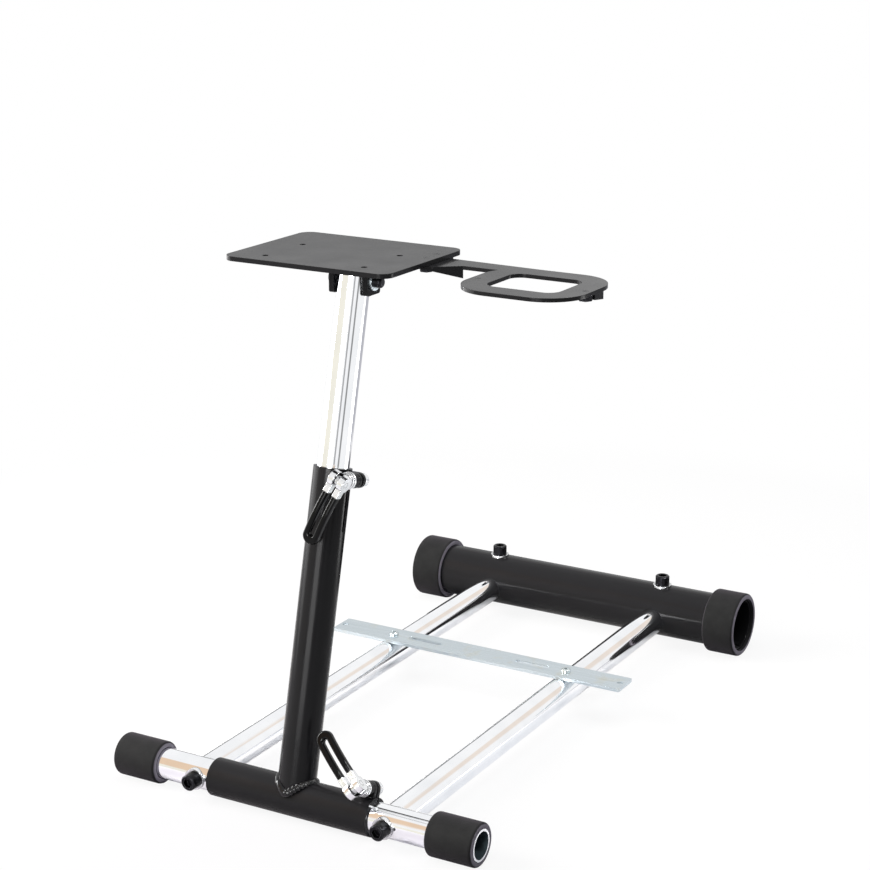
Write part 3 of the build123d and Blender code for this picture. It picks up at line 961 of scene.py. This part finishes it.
@dataclass
class Studio:
    """White studio: soft boxes, walls that only metal sees, and a pale floor.

    Attributes:
        aim: point that the lamps face
        ambient: level of the light from all round
        floor_side: length of the floor's side
        front_shade: colour of the floor at the front, darker as painted shade, sRGB hex
        back_shade: colour of the floor at the back, sRGB hex
        bounce: colour with which it lights the object from below, sRGB hex
        paper_rough: roughness of the floor
        paper_specular: level of its mirror reflection
        shade_line: places along Y between which the front shade turns into the back one
        fade: distances between which the floor fades to white
        near_white: share of plain white in what the eye sees of the floor near the object
        lamps: its soft boxes
        wall_patches: patches of the walls
        floor_patches: patches of the floor
    """

    aim: Vector
    ambient: float = 0.13
    floor_side: float = 14.0
    front_shade: str = "#cfcdd6"
    back_shade: str = "#f3f4f7"
    bounce: str = "#4c4a50"
    paper_rough: float = 0.9
    paper_specular: float = 0.1
    shade_line: tuple[float, float] = (-0.42, -0.22)
    fade: tuple[float, float] = (0.35, 1.25)
    near_white: float = 0.90
    lamps: tuple[Lamp, ...] = (
        Lamp("left_box", (-1.75, -1.35, 1.45), (1.6, 1.4), 98.0, colour="#fff8f1"),
        Lamp("top_box", (0.1, -0.1, 2.6), (1.9, 1.9), 42.0),
        Lamp("right_box", (1.75, 1.05, 0.50), (0.6, 1.2), 10.0),
        Lamp("front_box", (0.40, -2.50, 1.00), (1.2, 1.2), 12.0),
        Lamp("front_strip_high", (0.22, -2.60, 0.98), (1.1, 0.62), 48.0, LampUse.GLOSS),
        Lamp("front_strip_low", (0.22, -2.60, 0.40), (1.1, 0.54), 13.0, LampUse.GLOSS),
        Lamp("left_strip", (-2.05, -0.74, 0.90), (0.5, 0.7), 33.0, LampUse.GLOSS),
        Lamp("left_window", (-2.10, -0.35, 0.28), (2.2, 0.56), 12.0, LampUse.GLOSS),
        Lamp("spark", (1.45, 0.05, 2.10), (0.5, 0.5), 47.0, LampUse.GLOSS),
    )
    wall_patches: tuple[Patch, ...] = (
        Patch("cream wall at the front left", -133.0, 14.5, (0.19, 0.80), "#f0d3b6", soft=0.25),
        Patch("cream wall at the back right", 73.0, 13.0, (0.24, 0.70), "#f3e7dc", soft=0.5),
        Patch("pale yellow wall at the left", -134.0, 36.0, (-0.14, 0.26), "#fbf7e9", soft=0.3),
        Patch("ceiling seam", 0.0, 400.0, (0.866, 0.884), "#2c2c30", depth=0.45, soft=0.4),
        Patch("lamp stand", -54.0, 6.0, (-0.30, 0.50), "#2c2c30", depth=0.62, soft=0.5),
        Patch("camera stand", -24.0, 7.0, (-0.30, 0.50), "#2c2c30", depth=0.72, soft=0.5),
        Patch("dark room behind the camera", -52.0, 24.0, (0.24, 0.86), "#2c2c30", depth=0.7, soft=0.4),
        Patch("screen at the back left", 140.0, 26.0, (-0.08, 0.20), "#2c3234", depth=0.7, soft=0.2),
    )
    floor_patches: tuple[Patch, ...] = (
        # painted light: these two patches glow to gloss alone, a painted reflection of lit paper under the right
        # tube and a painted highlight strip at the right
        Patch("bright paper under the right tube", -15.0, 70.0, (0.0, 0.37), "#f4f6fb", depth=0.75, soft=0.3),
        Patch("bright strip at the right", 34.0, 11.0, (0.35, 3.2), WHITE, soft=0.4, glow=8.0),
        Patch("dark end of the paper", 94.0, 40.0, (0.30, 0.98), "#505056", soft=0.25),
        Patch("pale wall behind it", 94.0, 44.0, (0.92, 6.5), "#c0c0c6", soft=0.06),
    )

    def walls(self) -> None:
        """Builds the world: plain white to the eye, even light on the object, and walls for metal.

        The walls are white. Each patch covers what was there before it, by the turn and the height of
        a direction.
        """
        world = bpy.data.worlds.new("studio")
        bpy.context.scene.world = world
        world.use_nodes = True
        tree = world.node_tree
        back = tree.nodes["Background"]
        part = node(tree, "SeparateXYZ", {0: node(tree, "TexCoord")["Generated"]})
        turn = node(tree, "Math", {0: part["Y"], 1: part["X"]}, operation="ARCTAN2")
        wall = linear(WHITE)
        for patch in self.wall_patches:
            share = patch.share(tree, turn[0], part["Z"])
            wall = node(tree, "Mix", {SHARE: share, BASE: wall, OVER: linear(patch.colour)},
                        data_type="RGBA")[MIXED]
        ray = node(tree, "LightPath")
        mirror = node(tree, "Math", {0: ray["Is Glossy Ray"], 1: ray["Is Transmission Ray"]},
                      operation="MAXIMUM")
        ambient = (self.ambient,) * 3 + (1.0,)
        even = node(tree, "Mix", {SHARE: mirror[0], BASE: ambient, OVER: wall}, data_type="RGBA")
        seen = node(tree, "Mix", {SHARE: ray["Is Camera Ray"], BASE: even[MIXED],
                                  OVER: linear(WHITE)}, data_type="RGBA")
        tree.links.new(seen[MIXED], back.inputs["Color"])
        back.inputs["Strength"].default_value = 1.0

    def paper(self) -> bpy.types.Material:
        """Makes the floor's paper: nearly white to the eye, with its own shades to metal.

        It goes from a lavender painted shade at the front to white at the back, and returns less light
        than it shows. Further out it is plain white, but for patches that only gloss shows.

        Returns:
            the material with its nodes
        """
        made = bpy.data.materials.new("matt white paper")
        made.use_nodes = True
        tree = made.node_tree
        shader = tree.nodes["Principled BSDF"]
        shader.inputs["Roughness"].default_value = self.paper_rough
        shader.inputs["Specular IOR Level"].default_value = self.paper_specular
        ray = node(tree, "LightPath")
        to_eye, to_gloss = ray["Is Camera Ray"], ray["Is Glossy Ray"]
        place = node(tree, "TexCoord")["Object"]
        part = node(tree, "SeparateXYZ", {0: place})
        depth = node(tree, "MapRange", {"Value": part["Y"], "From Min": self.shade_line[0],
                                        "From Max": self.shade_line[1]}, interpolation_type="SMOOTHSTEP")
        laid = node(tree, "Mix", {SHARE: depth[0], BASE: linear(self.front_shade),
                                  OVER: linear(self.back_shade)}, data_type="RGBA")
        given = node(tree, "Mix", {SHARE: ray["Is Diffuse Ray"], BASE: laid[MIXED],
                                   OVER: linear(self.bounce)}, data_type="RGBA")
        tree.links.new(given[MIXED], shader.inputs["Base Color"])
        turn = node(tree, "Math", {0: part["Y"], 1: part["X"]}, operation="ARCTAN2")
        away = node(tree, "VectorMath", {0: place}, operation="LENGTH")["Value"]
        far = node(tree, "MapRange", {"Value": away, "From Min": self.fade[0], "From Max": self.fade[1]},
                   interpolation_type="SMOOTHSTEP")[0]
        tone = linear(WHITE)
        power = 1.0
        for patch in self.floor_patches:
            share = patch.share(tree, turn[0], away)
            seen = node(tree, "Math", {0: share, 1: to_gloss}, operation="MULTIPLY")[0]
            tone = node(tree, "Mix", {SHARE: seen, BASE: tone, OVER: linear(patch.colour)},
                        data_type="RGBA")[MIXED]
            power = node(tree, "Math", {0: seen, 1: patch.glow - 1.0, 2: power}, operation="MULTIPLY_ADD")[0]
            far = node(tree, "Math", {0: far, 1: seen}, operation="MAXIMUM")[0]
        glow = node(tree, "Emission", {"Color": tone, "Strength": power})
        shown = node(tree, "Math", {0: to_eye, 1: to_gloss}, operation="MAXIMUM")
        white = node(tree, "Math", {0: shown[0], 1: far}, operation="MULTIPLY")
        near = node(tree, "Math", {0: to_eye, 1: self.near_white}, operation="MULTIPLY")
        share = node(tree, "Math", {0: white[0], 1: near[0]}, operation="MAXIMUM")
        mixed = node(tree, "MixShader", {0: share[0], 1: shader.outputs[0], 2: glow[0]})
        tree.links.new(mixed[0], tree.nodes["Material Output"].inputs["Surface"])
        return made

    def floor(self) -> None:
        """Lays the floor, a flat square that keeps the object's shadow."""
        half = self.floor_side / 2
        x, y = np.meshgrid((-half, half), (-half, half), indexing="ij")
        made = surface("floor", np.stack([x, y, np.zeros_like(x)], -1), close_u=False, close_v=False)
        made.data.materials.append(self.paper())

    def build(self) -> None:
        """Puts up walls, floor and lamps."""
        self.walls()
        self.floor()
        for lamp in self.lamps:
            lamp.build(self.aim)


@dataclass(frozen=True)
class PhotoCamera:
    """Camera at the photograph's viewing angle.

    Attributes:
        place: where it stands, from the foot of the post
        azimuth: degrees round from the driver's side to the right
        elevation: degrees above the horizon
        roll: degrees of tilt
        focal: focal length in pixels of the picture
        clip: how far it sees
    """

    place: Point = (1.1952, -1.77630, 1.01315)
    azimuth: float = 29.941
    elevation: float = 15.885
    roll: float = 0.168
    focal: float = 2166.0
    clip: float = 50.0

    def build(self) -> None:
        """Sets up the camera: its back direction points from the object to it, its right is level."""
        turn, rise, tilt = (radians(v) for v in (self.azimuth, self.elevation, self.roll))
        back = Vector((sin(turn) * cos(rise), -cos(turn) * cos(rise), sin(rise)))
        right = Vector((cos(turn), sin(turn), 0.0))
        up = back.cross(right)
        rolled = cos(tilt) * right + sin(tilt) * up
        upright = cos(tilt) * up - sin(tilt) * right
        data = bpy.data.cameras.new("photo_camera")
        data.sensor_width = SENSOR
        data.lens = SENSOR * self.focal / PHOTO_SIDE
        data.clip_end = self.clip
        made = bpy.data.objects.new("photo_camera", data)
        stance = Matrix.Translation(Vector(POST.foot) + Vector(self.place))
        made.matrix_world = stance @ Matrix((rolled, upright, back)).transposed().to_4x4()
        bpy.context.scene.collection.objects.link(made)
        bpy.context.scene.camera = made


JOINTS = {joint["name"]: joint for joint in frame["joints"]}
POST = PostFrame.from_joints(JOINTS)

CHROME = ("#f6f7f9", "#ebedf0", (0.045, 0.10), 1.0)
FRONT_TUBE = ChromeTube("chrome plated front tube", *CHROME, centre=tuple(POST.foot), bore=15.1 * MM)
BASE_TUBE = ChromeTube("chrome plated base tube", *CHROME, drawn=Direction.BACK, axis=(0.0, 1.0, 0.0))
STEM_TUBE = ChromeTube("chrome plated post", *CHROME, drawn=Direction.POST, centre=tuple(POST.foot),
                       axis=tuple(POST.up), bore=16.2 * MM)
CLAMP_CHROME = CastChrome("chrome plated casting", "#f3f4f5", "#e4e6e8", (0.10, 0.24), 1.0)
BLACK_PAINT = PowderCoat("glossy black powder coat", "#222224", "#424246", (0.12, 0.20), specular=0.10)
WELD_PAINT = PowderCoat("powder coat over weld", "#131315", "#303033", (0.05, 0.10), specular=0.3,
                        peel=5.0 * MM)
FOAM = ClosedCellFoam("closed cell foam rubber", "#1e1f1f", "#292a2a", (0.72, 0.9), specular=0.10)
VINYL = DippedVinyl("dipped vinyl", "#060607", "#0c0c0d", (0.03, 0.08), specular=0.14)
ZINC = ZincPlate("bright zinc plate", "#d2dbdf", "#b9c3c9", (0.22, 0.40), 1.0)
OXIDE = BlackOxide("oiled black oxide", "#232326", "#6f6f72", (0.28, 0.45), 1.0)


@dataclass
class Stand:
    """The whole stand: which solid gets which finish, and the new pieces.

    Attributes:
        finishes: finish of each slot
        tubes: finish of each chrome tube, by its node
        front_bore: radius of the hole in a front foot
        rear_bore: radius of the hole in a rear foot
        lug_side: how far from the post's middle a lug weld lies, to the driver or back
        post_lug: how far out the roots of the post's lugs are
        post_lug_ends: ends of those roots, up the post
        sleeve_lug: how far out the roots of the sleeve's lugs are
        sleeve_lug_ends: ends of those roots, across
        sleeve_lug_turn: degrees by which the sleeve's lugs are turned back from the post
    """

    finishes: ClassVar[dict[str, Finish]] = {
        "chrome_clamp": CLAMP_CHROME,
        "black_paint": BLACK_PAINT,
        "zinc_bar": ZINC,
        "zinc_screw": ZINC,
        "black_screw": OXIDE,
        "foot_foam": FOAM,
        "vinyl_grip": VINYL,
    }
    tubes: ClassVar[dict[str, Finish]] = {
        "front_cross_tube": FRONT_TUBE,
        "base_tube_left": BASE_TUBE,
        "base_tube_right": BASE_TUBE,
        "upper_post": STEM_TUBE,
    }
    front_bore: float = 17.55 * MM
    rear_bore: float = 33.55 * MM
    lug_side: float = 6.6 * MM
    post_lug: float = 20.0 * MM
    post_lug_ends: tuple[float, float] = (342.5 * MM, 356.0 * MM)
    sleeve_lug: float = 20.2 * MM
    sleeve_lug_ends: tuple[float, float] = (82.5 * MM, 95.5 * MM)
    sleeve_lug_turn: float = 9.0

    def dress_solids(self, nodes: dict[str, Piece], record: dict) -> None:
        """Gives each solid the finish of its slot, and each chrome tube its own.

        Args:
            nodes: solids by name
            record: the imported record
        """
        for entry in record["subparts"]:
            name = entry["node"]
            dress(nodes[name], self.tubes.get(name) or self.finishes[entry["material_slot"]])

    def build_feet(self) -> None:
        """Builds the four foam feet."""
        for side in ("left", "right"):
            FoamFoot(f"front_foot_{side}", self.front_bore).build(FOAM)
            FoamFoot(f"rear_foot_{side}", self.rear_bore).build(FOAM)

    def build_welds(self) -> None:
        """Builds the bead at the foot of the post and those at the roots of the lugs."""
        PostWeld().build(WELD_PAINT)
        for name, off in (("front", self.lug_side), ("back", -self.lug_side)):
            post_ends = ((self.post_lug, off, up) for up in self.post_lug_ends)
            LugWeld(f"post_lug_weld_{name}", *post_ends).build(WELD_PAINT)
            sleeve_ends = ((across, off, self.sleeve_lug) for across in self.sleeve_lug_ends)
            LugWeld(f"sleeve_lug_weld_{name}", *sleeve_ends, turn=self.sleeve_lug_turn).build(WELD_PAINT)


def main() -> None:
    """Dresses the solids, builds the new pieces, the studio and the camera."""
    logging.basicConfig(level=logging.INFO, format="%(message)s")
    stand = Stand()
    stand.dress_solids(frame["nodes"], frame["record"])
    stand.build_feet()
    stand.build_welds()
    low, high = (Vector(corner) for corner in cad_box)
    Studio((low + high) / 2).build()
    PhotoCamera().build()
    bpy.context.scene.view_settings.view_transform = "Standard"


if __name__ == "__main__":
    main()
